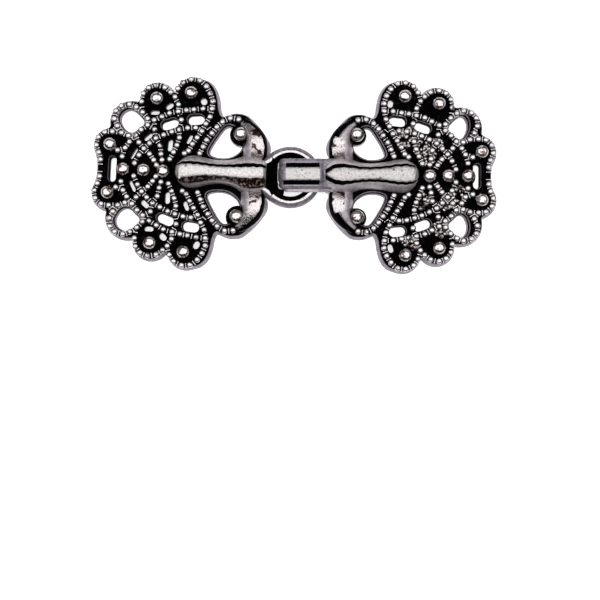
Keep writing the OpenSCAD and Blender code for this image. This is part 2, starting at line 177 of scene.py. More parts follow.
# The hook's line from the base over the ring and back under it: place, height, thickness
TONGUE_MID, TONGUE_T = (TONGUE_TOP + TONGUE_Z) / 2, TONGUE_TOP - TONGUE_Z
HOOK_LINE = [(7.6, 3.35, 0.7), (5.3, 3.35, 0.7), (4.9, 3.42, 0.86), *[
    (x, TONGUE_MID, TONGUE_T) for x in (4.45, 3.6, 2.4, 1, -0.1)], (-0.85, TONGUE_MID - 0.14, 1.06),
    (-1.27, TONGUE_MID - 0.6, 1.0), (-1.35, 2.3, 1.0), (-1.35, 1.5, 1.0), (-1.27, 0.95, 0.98),
    (-0.9, 0.57, 0.94), (-0.2, 0.47, LIP_T), (1, 0.46, LIP_T), (LIP_END - 0.25, 0.46, LIP_T * 0.9),
    (LIP_END - 0.05, 0.46, LIP_T * 0.4)]
# Across the tongue: place in millimetres and share of the thickness, from +Y to -Y
ACROSS = [(2.27, -0.5), (2.3, -0.3), (2.25, 0.12), (2.1, 0.3), (1.8, 0.38), (1.55, 0.4), (1.25, 0.28),
          (0.96, 0.42), (0.88, 0.47), (0.5, 0.49), (-0.1, 0.5), (-0.7, 0.49), (-1.08, 0.47),
          (-1.15, 0.42), (-1.45, 0.28), (-1.75, 0.4), (-2, 0.38), (-2.18, 0.28), (-2.3, 0.1),
          (-2.32, -0.2), (-2.75, -0.3), (-2.78, -0.5), (-1, -0.5), (1, -0.5)]
# Beyond LEDGE the tongue has a ledge low on its -Y side, which ends before the bend
LEDGE, LEDGE_IN, LEDGE_LOW, LEDGE_END = -2.32, -2.3, 2.9, -0.9
# Where the tongue's face and its lower groove start and end, and the rings that are the lip's
FACE_START, GROOVE_START, FACE_END, LIP_RINGS = -0.6, -0.98, 4.4, 20
LOWER_GROOVE = range(12, 15)
# The block under the tongue: its corners' chamfer, its end and its foot
CHAMFER, BASE_END, BASE_FOOT = 0.35, 8.3, 0.02
# The round that the hook keeps to inside the ring, and the heights over which it widens above it
THROAT_R, THROAT_X, WIDEN_FROM, WIDEN_OVER = 2.72, 0.5, 2.6, 0.5
# How a ridge's crown swells along it: by how much, and rate and start on either side
WAVE, LEFT_WAVE, RIGHT_WAVE = 0.05, (5.3, 0), (4.1, 2)
RIDGE_FOOT = PLATE_T / 2

# Colours along a ramp: the grain's shade and the studio's light from the horizon up; a fleck's edge
GRAIN_STOPS = [(0.32, (0.62, 0.6, 0.6)), (0.5, (1, 1, 1)), (0.72, (1.25, 1.24, 1.22))]
FLECK_EDGE = 0.06
SKY_STOPS = [(0.2, (0.7, 0.69, 0.71, 1)), (0.36, (0.07, 0.066, 0.068, 1))]
# The floor's half size in metres; the camera's sensor, height and view in mm, and place in metres
FLOOR = 2
SENSOR, CAMERA_UP, PHOTO_W, CAMERA_OVER = 36, 150, 93, (0.00095, -0.0192)

# Material slots, and what faces carry them across a bar, an arm and the tongue
# SIDE is a darker copy of WALL's cast metal, painted shade
NICKEL, FROST, WALL, BLACK, WORN, DOMES, BRIGHT, PAINTED_DARK_BAND, SIDE, FLOOD = range(10)
# Across the bars the black faces by the crowns are painted dark reflection; the eye bar's dark band along
# one flank is painted dark reflection with random light flecks
EYE_BAR_MATS = [WALL] * 2 + [PAINTED_DARK_BAND] * 3 + [BRIGHT] * 6 + [BLACK]
HOOK_BAR_MATS = [WALL] * 4 + [BLACK] + [FROST] * 6 + [BLACK]
# Past its worn part an arm's crown is painted darker towards its black flank, painted shade
WORN_ARM, DULL_ARM = [WORN] * 6, [WALL] * 3 + [SIDE] + [BLACK] * 2
TONGUE_MATS = [SIDE] * 5 + [BLACK] * 3 + [FROST] * 4 + [BLACK] * 3 + [SIDE] * 4 + [WALL] * 5


# Plane curves
def place(row, size):
    """A place in percent as a point of a fan of this length."""
    return np.array([row[0] * size, row[1] * FAN_W / 2]) / 100


def places(rows, size):
    return [place(r, size) for r in rows]


def mirrored(p):
    return np.array([p[0], -p[1]])


def knots(k, steps, loop=False):
    """A smooth curve through all the knots, which may be rows of any length."""
    k = [np.asarray(p, float) for p in k]
    n, out = len(k), []
    for i in range(n if loop else n - 1):
        if loop:
            a, b, c, d = k[i - 1], k[i], k[(i + 1) % n], k[(i + 2) % n]
        else:
            a, b, c, d = k[max(i - 1, 0)], k[i], k[i + 1], k[min(i + 2, n - 1)]
        for j in range(steps):
            t = j / steps
            out.append(b + (c - a) * t / 2 + (2 * a - 5 * b + 4 * c - d) * t * t / 2
                       + (3 * b - a - 3 * c + d) * t ** 3 / 2)
    return out if loop else out + [k[-1]]


def sides(p):
    """The unit vector to the left of a path at each of its points."""
    p = np.array(p)
    v = np.vstack([p[1] - p[0], p[2:] - p[:-2], p[-1] - p[-2]])
    v /= np.linalg.norm(v, axis=1)[:, None]
    return np.stack([-v[:, 1], v[:, 0]], 1)


def even(p, gap, loop=False):
    """The same path with its points at even steps."""
    p = np.array(p)
    q = np.vstack([p, p[:1]]) if loop else p
    s = np.r_[0, np.cumsum(np.linalg.norm(np.diff(q, axis=0), axis=1))]
    n = max(int(round(s[-1] / gap)), 3 if loop else 1)
    t = np.linspace(0, s[-1], n + 1)
    out = np.stack([np.interp(t, s, q[:, i]) for i in range(q.shape[1])], 1)
    return out[:-1] if loop else out


# Distance fields over a fan, with a grid in millimetres over its side of y >= 0
STEP, FAR, TINY, WELD, SHORTEST_LOOP = 0.09, 1e9, 1e-9, 1e-7, 8
GRID_X, GRID_Y = (-1.2, 31.2), (0, 16.2)
GX, GY = np.arange(*GRID_X, STEP), np.arange(*GRID_Y, STEP)
PX, PY = np.meshgrid(GX, GY, indexing="ij")


def to_path(pts, loop=False):
    """Distance to a line through points."""
    best = np.full(PX.shape, FAR)
    pts = [np.asarray(p) for p in pts]
    for i in range(len(pts) if loop else len(pts) - 1):
        a, d = pts[i], pts[(i + 1) % len(pts)] - pts[i]
        q = d @ d
        if q < TINY ** 2:
            continue
        t = np.clip(((PX - a[0]) * d[0] + (PY - a[1]) * d[1]) / q, 0, 1)
        best = np.minimum(best, (PX - a[0] - t * d[0]) ** 2 + (PY - a[1] - t * d[1]) ** 2)
    return np.sqrt(best)


def area(pts):
    """Signed distance to a polygon, below zero inside."""
    d, odd = to_path(pts, True), np.zeros(PX.shape, bool)
    for i in range(len(pts)):
        (ax, ay), (bx, by) = pts[i], pts[(i + 1) % len(pts)]
        if ay != by:
            odd ^= ((ay > PY) != (by > PY)) & (PX < (bx - ax) * (PY - ay) / (by - ay) + ax)
    return np.where(odd, -d, d)


def disc(mid, r):
    return np.hypot(PX - mid[0], PY - mid[1]) - r


def both(pts):
    """A half outline with its mirror image, as one loop."""
    return list(pts) + [np.array([p[0], -p[1]]) for p in reversed(pts)]


def soft_min(a, b, k):
    """The union of two fields, run together over a width of k."""
    h = np.clip(0.5 + (b - a) / (2 * k), 0, 1)
    return b * (1 - h) + a * h - k * h * (1 - h)


def outline(size):
    """The fan's outline: its body, the lobes and the loop."""
    f = area(both(places(TIP_EDGE + LOBE_LINE, size)
                  + knots(places(NECK_FLANK, size), LINE_STEPS) + knots(places(EAR, size), LINE_STEPS)))
    for lobe in LOBES:
        f = soft_min(f, disc(place(lobe, size), LOBE_R), LOBE_MELT)
    return soft_min(f, disc(place(LOOP, size), LOOP_R), LOBE_MELT)


def gap_field(size, lace, shut):
    """The openings; shut is the share of the loop's opening kept on its tip side."""
    f = area(both(places(SLOT, size)))
    loop = [(LOOP[0] + (x - LOOP[0]) * (shut if x > LOOP[0] else 1), y) for x, y in LOOP_GAP]
    for rows in (loop, TEARDROP):
        f = np.minimum(f, area(knots(places(rows, size), LOOP_STEPS, True)))
    for at, long, wide, angle in lace:
        mid, w = place(at, size), wide / 100 * RIB_W / 2
        half = max(long / 100 * RIB_W / 2 - w, TINY)
        d = np.array([math.cos(math.radians(angle)), math.sin(math.radians(angle))]) * half
        f = np.minimum(f, to_path([mid - d, mid + d]) - w)
    return f


def rib_paths(size):
    """The ribs' lines, with a bead's place at every RIB_STEPS-th point."""
    return [knots(places(r, size), RIB_STEPS) for r in RIBS]


def blurred(f, times=2):
    """The field smoothed, as its mirror image goes on past y = 0."""
    for _ in range(times):
        g = np.pad(f, 1, mode="edge")
        g[:, 0] = g[:, 2]
        f = (g[1:-1, 1:-1] * 2 + g[:-2, 1:-1] + g[2:, 1:-1] + g[1:-1, :-2] + g[1:-1, 2:]) / 6
    return f


def whole(f):
    """A field over both sides of the axis, from the one over y >= 0."""
    return np.concatenate([f[:, :0:-1], f], 1)


def sample(f, pts):
    """A whole field's values at points."""
    pts = np.atleast_2d(pts)
    x = np.clip((pts[:, 0] - GX[0]) / STEP, 0, f.shape[0] - 1.001)
    y = np.clip((pts[:, 1] + GY[-1]) / STEP, 0, f.shape[1] - 1.001)
    i, j = x.astype(int), y.astype(int)
    u, v = x - i, y - j
    return (f[i, j] * (1 - u) * (1 - v) + f[i + 1, j] * u * (1 - v)
            + f[i, j + 1] * (1 - u) * v + f[i + 1, j + 1] * u * v)


# Marching squares: the sides by which a zero line enters and leaves a cell, by the corners inside
TURNS = {1: [(0, 3)], 2: [(1, 0)], 3: [(1, 3)], 4: [(2, 1)], 5: [(0, 3), (2, 1)], 6: [(2, 0)],
         7: [(2, 3)], 8: [(3, 2)], 9: [(0, 2)], 10: [(1, 0), (3, 2)], 11: [(1, 2)], 12: [(3, 1)],
         13: [(0, 1)], 14: [(3, 0)]}


def loops_of(f):
    """The closed lines where a whole field is zero, with the inside on their left."""
    s = (f < 0).astype(int)
    code = s[:-1, :-1] + 2 * s[1:, :-1] + 4 * s[1:, 1:] + 8 * s[:-1, 1:]
    step = {}
    for i, j in np.argwhere((code > 0) & (code < 15)):
        edges = [(i, j, 0), (i + 1, j, 1), (i, j + 1, 0), (i, j, 1)]
        for a, b in TURNS[code[i, j]]:
            step[edges[a]] = edges[b]
    out = []
    while step:
        start = next(iter(step))
        chain, at = [], start
        while at in step:
            chain.append(at)
            at = step.pop(at)
        pts = []
        for i, j, up in chain:
            a, b = f[i, j], f[i, j + 1] if up else f[i + 1, j]
            t = a / (a - b)
            pts.append((GX[0] + (i + (0 if up else t)) * STEP, -GY[-1] + (j + (t if up else 0)) * STEP))
        if len(pts) > SHORTEST_LOOP:
            out.append(np.array(pts))
    return out


# Openings of less than the first area, in square millimetres, have steeper walls, and those of less
# than the second widen downwards, by these shares
LARGE_GAP, SMALL_GAP, MID_LEAN, SMALL_LEAN = 5, 2.2, 0.35, 0.45
# Edges over this angle, in degrees, stay sharp
SHARP_ANGLE = 38


# Solids
class Cast:
    """One cast half: closed shells gathered into one mesh, in its own frame, in millimetres."""

    def __init__(self):
        self.verts, self.faces, self.mats = [], [], []

    def add(self, verts, faces, mat):
        """Adds a closed shell, or several that agree, with the faces turned outwards."""
        p = np.array([tuple(map(float, v)) for v in verts])
        tris = np.array([(f[0], f[i], f[i + 1]) for f in faces for i in range(1, len(f) - 1)], dtype=int)
        if np.sum(p[tris[:, 0]] * np.cross(p[tris[:, 1]], p[tris[:, 2]])) < 0:
            faces = [f[::-1] for f in faces]
        base = len(self.verts)
        self.verts += [tuple(map(float, v)) for v in verts]
        self.faces += [tuple(int(i) + base for i in f) for f in faces]
        self.mats += list(mat) if isinstance(mat, (list, tuple)) else [mat] * len(faces)

    def slab(self, field, profile, mats):
        """A flat solid inside a field; profile rows are (inset, height) from the bottom up."""
        gx, gy = np.gradient(blurred(field, 3), STEP)
        size = np.hypot(gx, gy) + TINY
        verts, faces, kinds, low_edge, top_edge = [], [], [], [], []
        for loop in loops_of(field):
            p = even(loop, EDGE_STEP, True)
            n = np.stack([-sample(gx, p) / sample(size, p), -sample(gy, p) / sample(size, p)], 1)
            base, k, deep = len(verts), len(p), profile[-1][0]
            x, y = p[:, 0], p[:, 1]
            turned = np.sum(x * np.roll(y, -1) - y * np.roll(x, -1)) / 2
            span = abs(turned)
            lean = 1 if span > LARGE_GAP else MID_LEAN
            dark = () if turned > 0 else (3,) if span > LARGE_GAP else (2, 3)
            for inset, z in profile:
                draft = inset * lean if span > SMALL_GAP else SMALL_LEAN * (deep - inset)
                verts += [(*q, z) for q in p + n * draft]
            for r in range(len(profile) - 1):
                a = base + r * k
                faces += [(a + i, a + (i + 1) % k, a + k + (i + 1) % k, a + k + i) for i in range(k)]
                kinds += [BLACK if r in dark else mats[r]] * k
            low_edge.append(list(range(base, base + k)))
            top_edge.append(list(range(base + (len(profile) - 1) * k, base + len(profile) * k)))
        for edge, top in ((low_edge, False), (top_edge, True)):
            ids = [i for e in edge for i in e]
            at = {v: n for n, v in enumerate(ids)}
            pts = [Vector(verts[i][:2]) for i in ids]
            lines = [(at[e[i]], at[e[(i + 1) % len(e)]]) for e in edge for i in range(len(e))]
            flat, _, tris, source, _, _ = geometry.delaunay_2d_cdt(pts, lines, [], 0, WELD)
            z = verts[ids[0]][2]
            same = [ids[s[0]] if s else None for s in source]
            for n, v in enumerate(flat):
                if same[n] is None:
                    same[n] = len(verts)
                    verts.append((v.x, v.y, z))
            mid = np.array([[sum(flat[i][c] for i in t) / 3 for c in (0, 1)] for t in tris])
            keep = inside_loops(mid, [[verts[i][:2] for i in e] for e in edge])
            for t, ok in zip(tris, keep):
                if ok:
                    faces.append(tuple(same[i] for i in (t if top else t[::-1])))
                    kinds.append(mats[-1] if top else SIDE)
        self.add(verts, faces, kinds)

    def skin(self, rings, mat):
        """Joins rings of points of the same number into a closed skin."""
        k, n = len(rings[0]), len(rings)
        verts = [p for r in rings for p in r]
        faces = [(r * k + i, r * k + (i + 1) % k, (r + 1) * k + (i + 1) % k, (r + 1) * k + i)
                 for r in range(n - 1) for i in range(k)]
        mats = [mat(r, i) if callable(mat) else mat for r in range(n - 1) for i in range(k)]
        for first, flip in ((0, True), ((n - 1) * k, False)):
            mid = np.mean([verts[first + i] for i in range(k)], 0)
            verts.append(tuple(mid))
            m = len(verts) - 1
            for i in range(k):
                a, b = first + i, first + (i + 1) % k
                faces.append((b, a, m) if flip else (a, b, m))
                mats.append(mats[0 if flip else -1])
        self.add(verts, faces, mats)

    def lathe(self, mid, rows, seg, mat):
        """Turns rows of (radius, height), from the top down, about a vertical axis at mid."""
        verts, faces = [(mid[0], mid[1], rows[0][1])], []
        for r, z in rows[1:]:
            verts += [(mid[0] + r * math.cos(a), mid[1] + r * math.sin(a), z)
                      for a in np.linspace(0, 2 * math.pi, seg, endpoint=False)]
        faces += [(0, 1 + i, 1 + (i + 1) % seg) for i in range(seg)]
        for q in range(len(rows) - 2):
            a = 1 + q * seg
            faces += [(a + (i + 1) % seg, a + i, a + seg + i, a + seg + (i + 1) % seg) for i in range(seg)]
        last = 1 + (len(rows) - 2) * seg
        faces.append(tuple(last + i for i in reversed(range(seg))))
        if callable(mat):
            mat = [mat(q) for q in range(len(rows) - 1) for _ in range(seg)] + [mat(len(rows) - 2)]
        self.add(verts, faces, mat)

    def object(self, name, move):
        """The mesh as an object, with each point moved to its place in metres."""
        mesh = bpy.data.meshes.new(name)
        pts = np.array(self.verts)
        mesh.from_pydata([tuple(move(p)) for p in pts], [], self.faces)
        mesh.polygons.foreach_set("material_index", self.mats)
        mesh.polygons.foreach_set("use_smooth", [True] * len(self.faces))
        mesh.validate()
        mesh.set_sharp_from_angle(angle=math.radians(SHARP_ANGLE))
        mesh.update()
        ob = bpy.data.objects.new(name, mesh)
        bpy.context.scene.collection.objects.link(ob)
        for m in MATERIALS:
            mesh.materials.append(m)
        return ob


def inside_loops(pts, loops):
    """Which points lie inside an odd number of loops."""
    odd = np.zeros(len(pts), bool)
    for loop in loops:
        p = np.array(loop)
        q = np.roll(p, -1, 0)
        for (ax, ay), (bx, by) in zip(p, q):
            if ay != by:
                odd ^= ((ay > pts[:, 1]) != (by > pts[:, 1])) & (
                    pts[:, 0] < (bx - ax) * (pts[:, 1] - ay) / (by - ay) + ax)
    return odd


def wavy(w, at, rate, start):
    """A width that swells and shrinks a little along a ridge."""
    return w * (1 + WAVE * math.sin(rate * at + start))


def ridge(cast, rows, mats, flip=1):
    """A ridge; rows are (x, y, side x, side y, left and right foot, left and right crown, height)."""
    rings = []
    for x, y, sx, sy, wl, wr, cl, cr, h in knots(rows, RIDGE_STEPS):
        cl, cr = wavy(cl, x + y, *LEFT_WAVE), wavy(cr, x + y, *RIGHT_WAVE)
        right = [(wr + (cr - wr) * t, h * v) for t, v in FLANK] + [(cr * t, h * v) for t, v in CROWN]
        left = [(-cl * t, h * v) for t, v in CROWN[-2::-1]] + [
            (-wl - (cl - wl) * t, h * v) for t, v in reversed(FLANK)]
        ring = [(u, PLATE_T + v) for u, v in right + left] + [(-wl, RIDGE_FOOT), (wr, RIDGE_FOOT)]
        rings.append([(x + sx * u, y + sy * u, z) for u, z in ring])
    last = len(rings) - 2
    if flip < 0:
        rings = rings[::-1]
    cast.skin(rings, lambda r, i: (mats(r if flip > 0 else last - r) + [WALL] * len(rings[0]))[i])


def tube(cast, pts, radii, mat_of, flip=1):
    """A round tube through points in space, kept upright."""
    pts = np.array(pts, float)
    v = np.vstack([pts[1] - pts[0], pts[2:] - pts[:-2], pts[-1] - pts[-2]])
    v /= np.linalg.norm(v, axis=1)[:, None]
    rings = []
    for p, d, r in zip(pts, v, radii):
        side = np.array([-d[1], d[0], 0]) / math.hypot(d[0], d[1])
        up = np.cross(d, side)
        rings.append([p + r * (math.cos(a) * side * flip + math.sin(a) * up)
                      for a in np.linspace(0, 2 * math.pi, TUBE_SEG, endpoint=False)])
    cast.skin(rings if flip > 0 else rings[::-1], lambda q, i: mat_of(i / TUBE_SEG))


# The parts of a fan
def add_plate(part, size, lace, shut, paths):
    """The floor plate with its openings, and the ribs on it; gives the plate's field."""
    plate = whole(np.maximum(blurred(outline(size)), -blurred(gap_field(size, lace, shut))))
    ribs = np.full(PX.shape, FAR)
    for p in paths:
        ribs = soft_min(ribs, to_path(p) - RIB_W / 2, RIB_MELT)
    ribs = np.maximum(whole(blurred(ribs, 1)), plate + RIB_BACK)
    part.slab(plate, PLATE_SIDE, [SIDE] * 5 + [BLACK])
    part.slab(ribs, RIB_SIDE, [BLACK] * 3)
    return plate


def add_bar(part, size, rows, mats):
    """The fat bar; gives its sections."""
    bar = [(*place((at, 0), size), 0, 1, *[BAR_W / 2 * w / 100 for w in widths],
            (BAR_H - PLATE_T) * h / 100) for at, *widths, h in rows]
    ridge(part, bar, lambda r: mats)
    return bar


def add_arms(part, size, arm_end):
    """The two scroll arms, worn up to ring arm_end; gives one arm's line with the room it takes."""
    def mats(r):
        # Black along the arm's flank is painted dark reflection, and past ring arm_end the crown is painted
        # darker towards that flank
        return [WALL] * 5 + (WORN_ARM if r < arm_end else DULL_ARM) + [BLACK] * 4 + [SIDE]

    path = places([r[0] for r in ARM], size)
    for flip in (1, -1):
        rows = [(p[0], p[1] * flip, -s[0], -s[1] * flip, out, inner, crown, crown,
                 (ARM_H - PLATE_T) * h / 100)
                for p, s, (_, out, inner, crown, h) in zip(path, sides(path), ARM)]
        ridge(part, rows, mats, flip=flip)
    return np.array(knots([(*p, ARM_CLEAR * max(r[1:3])) for p, r in zip(path, ARM)], RIB_STEPS))


def add_domes(part, size, curl_r, nudge):
    """The domes, with discs under those of the curls and of the axis; gives their middles."""
    domes = [place(r, size) + [nudge, 0] for r in AXIS_DOMES]
    for r in LOBES + [CURL]:
        d = place(r, size) + [NECK_NUDGE if r == NECK_LOBE else nudge, 0]
        domes += [d, mirrored(d)]
    for d in domes:
        part.lathe(d, DOME, DOME_SEG, DOMES)
    discs = [(d, curl_r) for d in domes[-2:]] + [(d, CUP_R) for d in domes[:len(AXIS_DOMES)]]
    for mid, r in discs:
        rows = [(0, DISC_SIDE[0][1])] + [(r - inset, z) for inset, z in DISC_SIDE]
        part.lathe(mid, rows, DISC_SEG, lambda q: BLACK if q < 3 else WALL)
    return domes


def apart(p, others, gap):
    return all(np.linalg.norm(p - q) > gap for q in others)


def room_test(plate, bar, arm, domes):
    """A test that a point is clear of the plate's edge by room, and of bar, arms and domes."""
    bar_at = np.array([[b[0], b[4], b[5]] for b in bar])[::-1]

    def free(p, room):
        half = np.interp(p[0], bar_at[:, 0], bar_at[:, 1 if p[1] < 0 else 2], left=0, right=0)
        if sample(plate, p)[0] > -room or half + BAR_CLEAR > abs(p[1]):
            return False
        if np.any(np.linalg.norm(arm[:, :2] - [p[0], abs(p[1])], axis=1) < arm[:, 2]):
            return False
        return apart(p, domes, DOME_R + DOME_CLEAR)

    return free


def add_reel(part, p, s):
    """A reel at p, across the rib, whose left is s."""
    along = np.array([s[1], -s[0]])
    rings = []
    for u, w, top in REEL:
        c = p + s * u
        rings.append([(*(c + along * a), z) for a, z in (
            (-w, REEL_FOOT), (w, REEL_FOOT), (w, top - REEL_EDGE), (w * REEL_CROWN, top),
            (-w * REEL_CROWN, top), (-w, top - REEL_EDGE))])
    part.skin(rings, NICKEL)


def add_beads(part, paths, free):
    """Beads along the ribs with a reel between each two; gives the places of both."""
    beads, between, reels = [], [], []
    for rib in paths:
        for flip in (1, -1):
            q, s = np.array(rib) * [1, flip], sides(rib) * [1, flip]
            for at in range(0, len(q), RIB_STEPS):
                if free(q[at], BEAD_ROOM) and apart(q[at], beads, BEAD_GAP):
                    beads.append(q[at])
            for at in range(RIB_STEPS // 2, len(q), RIB_STEPS):
                between.append((q[at], s[at]))
    for b in beads:
        part.lathe(b, BEAD, BEAD_SEG, NICKEL)
    for p, s in between:
        if free(p, REEL_ROOM) and apart(p, beads, REEL_TO_BEAD) and apart(p, reels, REEL_GAP):
            reels.append(p)
            add_reel(part, p, s)
    return beads, reels


def add_flood(part, size, tries, beads, free):
    """Lumps of metal between the ribs, at most so many by each place; gives how many fit."""
    count = 0
    for n in range(len(FLOOD_AT) * tries):
        u, v, w = [math.modf(abs(math.sin(n * k + 1)) * SCATTER)[0] for k in SCATTER_BY]
        turn = 2 * math.pi * u
        off = FLOOD_REACH * math.sqrt(v) * np.array([math.cos(turn), math.sin(turn)])
        p = place(FLOOD_AT[n // tries], size) + off
        if free(p, FLOOD_ROOM) and apart(p, beads, FLOOD_GAP):
            r, top = LUMP_R + LUMP_R_MORE * w, LUMP_TOP + LUMP_TOP_MORE * v
            rows = [(r * share, top - drop) for share, drop in LUMP_SIDE]
            part.lathe(p, rows + [(r * LUMP_SPREAD, REEL_FOOT)], LUMP_SEG, FLOOD)
            count += 1
    return count


def add_fan(cast, size, nose, lace, bar_rows, bar_mats, arm_end, curl_r, nudge, shut, tries):
    """A whole fan of this length, begun at nose; gives its numbers of beads, reels and lumps."""
    part, paths = Cast(), rib_paths(size)
    plate = add_plate(part, size, lace, shut, paths)
    bar = add_bar(part, size, bar_rows, bar_mats)
    arm = add_arms(part, size, arm_end)
    domes = add_domes(part, size, curl_r, nudge)
    free = room_test(plate, bar, arm, domes)
    beads, reels = add_beads(part, paths, free)
    lumps = add_flood(part, size, tries, beads, free)
    cast.add([(v[0] + nose, v[1], v[2]) for v in part.verts], part.faces, part.mats)
    return len(beads), len(reels), lumps


# The ring
def ring_mat(r, i):
    """A painted highlight line on top, save towards the web, and painted dark reflection in black on the
    inside of it.
    """
    if i in RING_PAINTED_HIGHLIGHT and RING_SEG / 8 < r < RING_SEG * 7 / 8:
        return NICKEL
    return BLACK if i in RING_PAINTED_DARK else SIDE


def strut_mat(u):
    """The strut's material by the share of the way round it: a painted highlight line, then painted dark
    reflection in black.
    """
    return NICKEL if STRUT_PAINTED_HIGHLIGHT <= u < STRUT_PAINTED_DARK else BLACK if STRUT_PAINTED_DARK <= u < STRUT_PAINTED_DARK_END else SIDE


def add_ring(cast):
    """The ring about the origin, with struts and web towards +X."""
    verts, n, k = [], RING_SEG, WIRE_SEG
    for a in np.linspace(0, 2 * math.pi, n, endpoint=False):
        for b in (np.arange(k) - 0.5) * 2 * math.pi / k:
            r = RING_R + WIRE_R * math.cos(b)
            verts.append((r * math.cos(a), r * math.sin(a) + RING_ASIDE, RING_Z + WIRE_R * math.sin(b)))
    faces = [(r * k + i, (r + 1) % n * k + i, (r + 1) % n * k + (i + 1) % k, r * k + (i + 1) % k)
             for r in range(n) for i in range(k)]
    cast.add(verts, faces, [ring_mat(r, i) for r in range(n) for i in range(k)])
    for flip in (1, -1):
        path = knots([(x, y * flip, RING_Z + up) for x, y, up in STRUT], LINE_STEPS)
        tube(cast, path, np.linspace(*STRUT_R, len(path)), strut_mat, flip=flip)
    low, top = RING_Z - WEB_UNDER, RING_Z + WEB_OVER
    cast.skin([[(a, y, low), (b, y, low), (b, y, top), (a, y, top)] for y, a, b in WEB], BLACK)


# The hook
def narrowing(x, z):
    """The share of its width that the hook keeps at a point of its line, inside the ring."""
    if x >= 0:
        return 1
    share = min(1, math.sqrt(THROAT_R ** 2 - (x - THROAT_X) ** 2) / (TONGUE_W / 2))
    return share + (1 - share) * min(max((z - WIDEN_FROM) / WIDEN_OVER, 0), 1)


def add_hook(cast):
    """The tongue over the ring, the bend down through it and the lip under it."""
    line = knots(HOOK_LINE, LINE_STEPS)
    rings = []
    for i, (x, z, thick) in enumerate(line):
        a, b = line[max(i - 1, 0)], line[min(i + 1, len(line) - 1)]
        d = np.array([b[0] - a[0], b[1] - a[1]])
        d /= np.linalg.norm(d)
        out = np.array([d[1], -d[0]])
        ring = []
        for u, v in ACROSS:
            if u < LEDGE and (z < LEDGE_LOW or x < LEDGE_END):
                u = LEDGE_IN
            c = np.array([x, z]) + out * thick * v
            ring.append((c[0], u * narrowing(x, z) + TONGUE_ASIDE, c[1]))
        rings.append(ring)
    rings, along = rings[::-1], [row[0] for row in line[::-1]]
    front = [GROOVE_START if i in LOWER_GROOVE else FACE_START for i in range(len(ACROSS))]
    cast.skin(rings, lambda r, i: (
        TONGUE_MATS[i] if front[i] < along[r] < FACE_END and r > LIP_RINGS else SIDE))
    w = TONGUE_W / 2
    edge = [(HOOK_NOSE, -w + CHAMFER), (HOOK_NOSE + CHAMFER, -w), (BASE_END, -w), (BASE_END, w),
            (HOOK_NOSE + CHAMFER, w), (HOOK_NOSE, w - CHAMFER)]
    cast.skin([[(x, y, z) for x, y in edge] for z in (BASE_FOOT, TONGUE_Z)], SIDE)


# Materials
def metal(name, colour, second, rough, fleck, bump, shine=1, grain_at=4200, spot_at=1500):
    """A metal whose colour varies with its grain and gives way to a second one in flecks."""
    m = bpy.data.materials.new(name)
    m.use_nodes = True
    t = m.node_tree
    bsdf = t.nodes["Principled BSDF"]
    bsdf.inputs["Metallic"].default_value = shine
    where = t.nodes.new("ShaderNodeTexCoord")

    def noise(scale, detail):
        n = t.nodes.new("ShaderNodeTexNoise")
        n.inputs["Scale"].default_value = scale
        n.inputs["Detail"].default_value = detail
        t.links.new(where.outputs["Object"], n.inputs["Vector"])
        return n

    def ramp(source, stops):
        r = t.nodes.new("ShaderNodeValToRGB")
        while len(r.color_ramp.elements) < len(stops):
            r.color_ramp.elements.new(1)
        for e, (at, value) in zip(r.color_ramp.elements, stops):
            e.position, e.color = at, (*value, 1)
        t.links.new(source.outputs["Fac"], r.inputs["Fac"])
        return r

    grain, spots = noise(grain_at, 3), noise(spot_at, 2)
    shade = ramp(grain, GRAIN_STOPS)
    base = ramp(spots, [(fleck, second), (fleck + FLECK_EDGE, colour)])
    mix = t.nodes.new("ShaderNodeVectorMath")
    mix.operation = "MULTIPLY"
    t.links.new(base.outputs["Color"], mix.inputs[0])
    t.links.new(shade.outputs["Color"], mix.inputs[1])
    t.links.new(mix.outputs["Vector"], bsdf.inputs["Base Color"])
    span = t.nodes.new("ShaderNodeMapRange")
    span.inputs["To Min"].default_value = rough[0]
    span.inputs["To Max"].default_value = rough[1]
    t.links.new(grain.outputs["Fac"], span.inputs["Value"])
    t.links.new(span.outputs["Result"], bsdf.inputs["Roughness"])
    b = t.nodes.new("ShaderNodeBump")
    b.inputs["Strength"].default_value = 1
    b.inputs["Distance"].default_value = bump
    t.links.new(grain.outputs["Fac"], b.inputs["Height"])
    t.links.new(b.outputs["Normal"], bsdf.inputs["Normal"])
    return m


nickel = metal("dark_nickel", (0.42, 0.40, 0.41), (0.05, 0.04, 0.04), (0.16, 0.32), 0.3, 0.00001)
frost = metal("frosted_crown", (0.31, 0.3, 0.295), (0.12, 0.11, 0.1), (0.24, 0.4), 0.3, 0.00003)
worn = metal("worn_crown", (0.4, 0.37, 0.375), (0.03, 0.016, 0.013), (0.16, 0.34), 0.38, 0.00004,
             spot_at=800)
dome = metal("worn_dome", (0.5, 0.47, 0.465), (0.12, 0.09, 0.08), (0.1, 0.2), 0.4, 0.00003,
             spot_at=1300)
bright = metal("bright_crown", (0.38, 0.365, 0.36), (0.2, 0.18, 0.17), (0.24, 0.4), 0.3, 0.00003)
# Painted dark reflection: a dark band with random light flecks along one flank of the eye bar
painted_dark_band = metal("painted_dark_band", (0.02, 0.009, 0.007), (0.3, 0.24, 0.22), (0.3, 0.5), 0.4, 0.00003,
                spot_at=2600)
wall = metal("cast_wall", (0.45, 0.41, 0.43), (0.36, 0.325, 0.345), (0.4, 0.6), 0.4, 0.00002, shine=0.8)
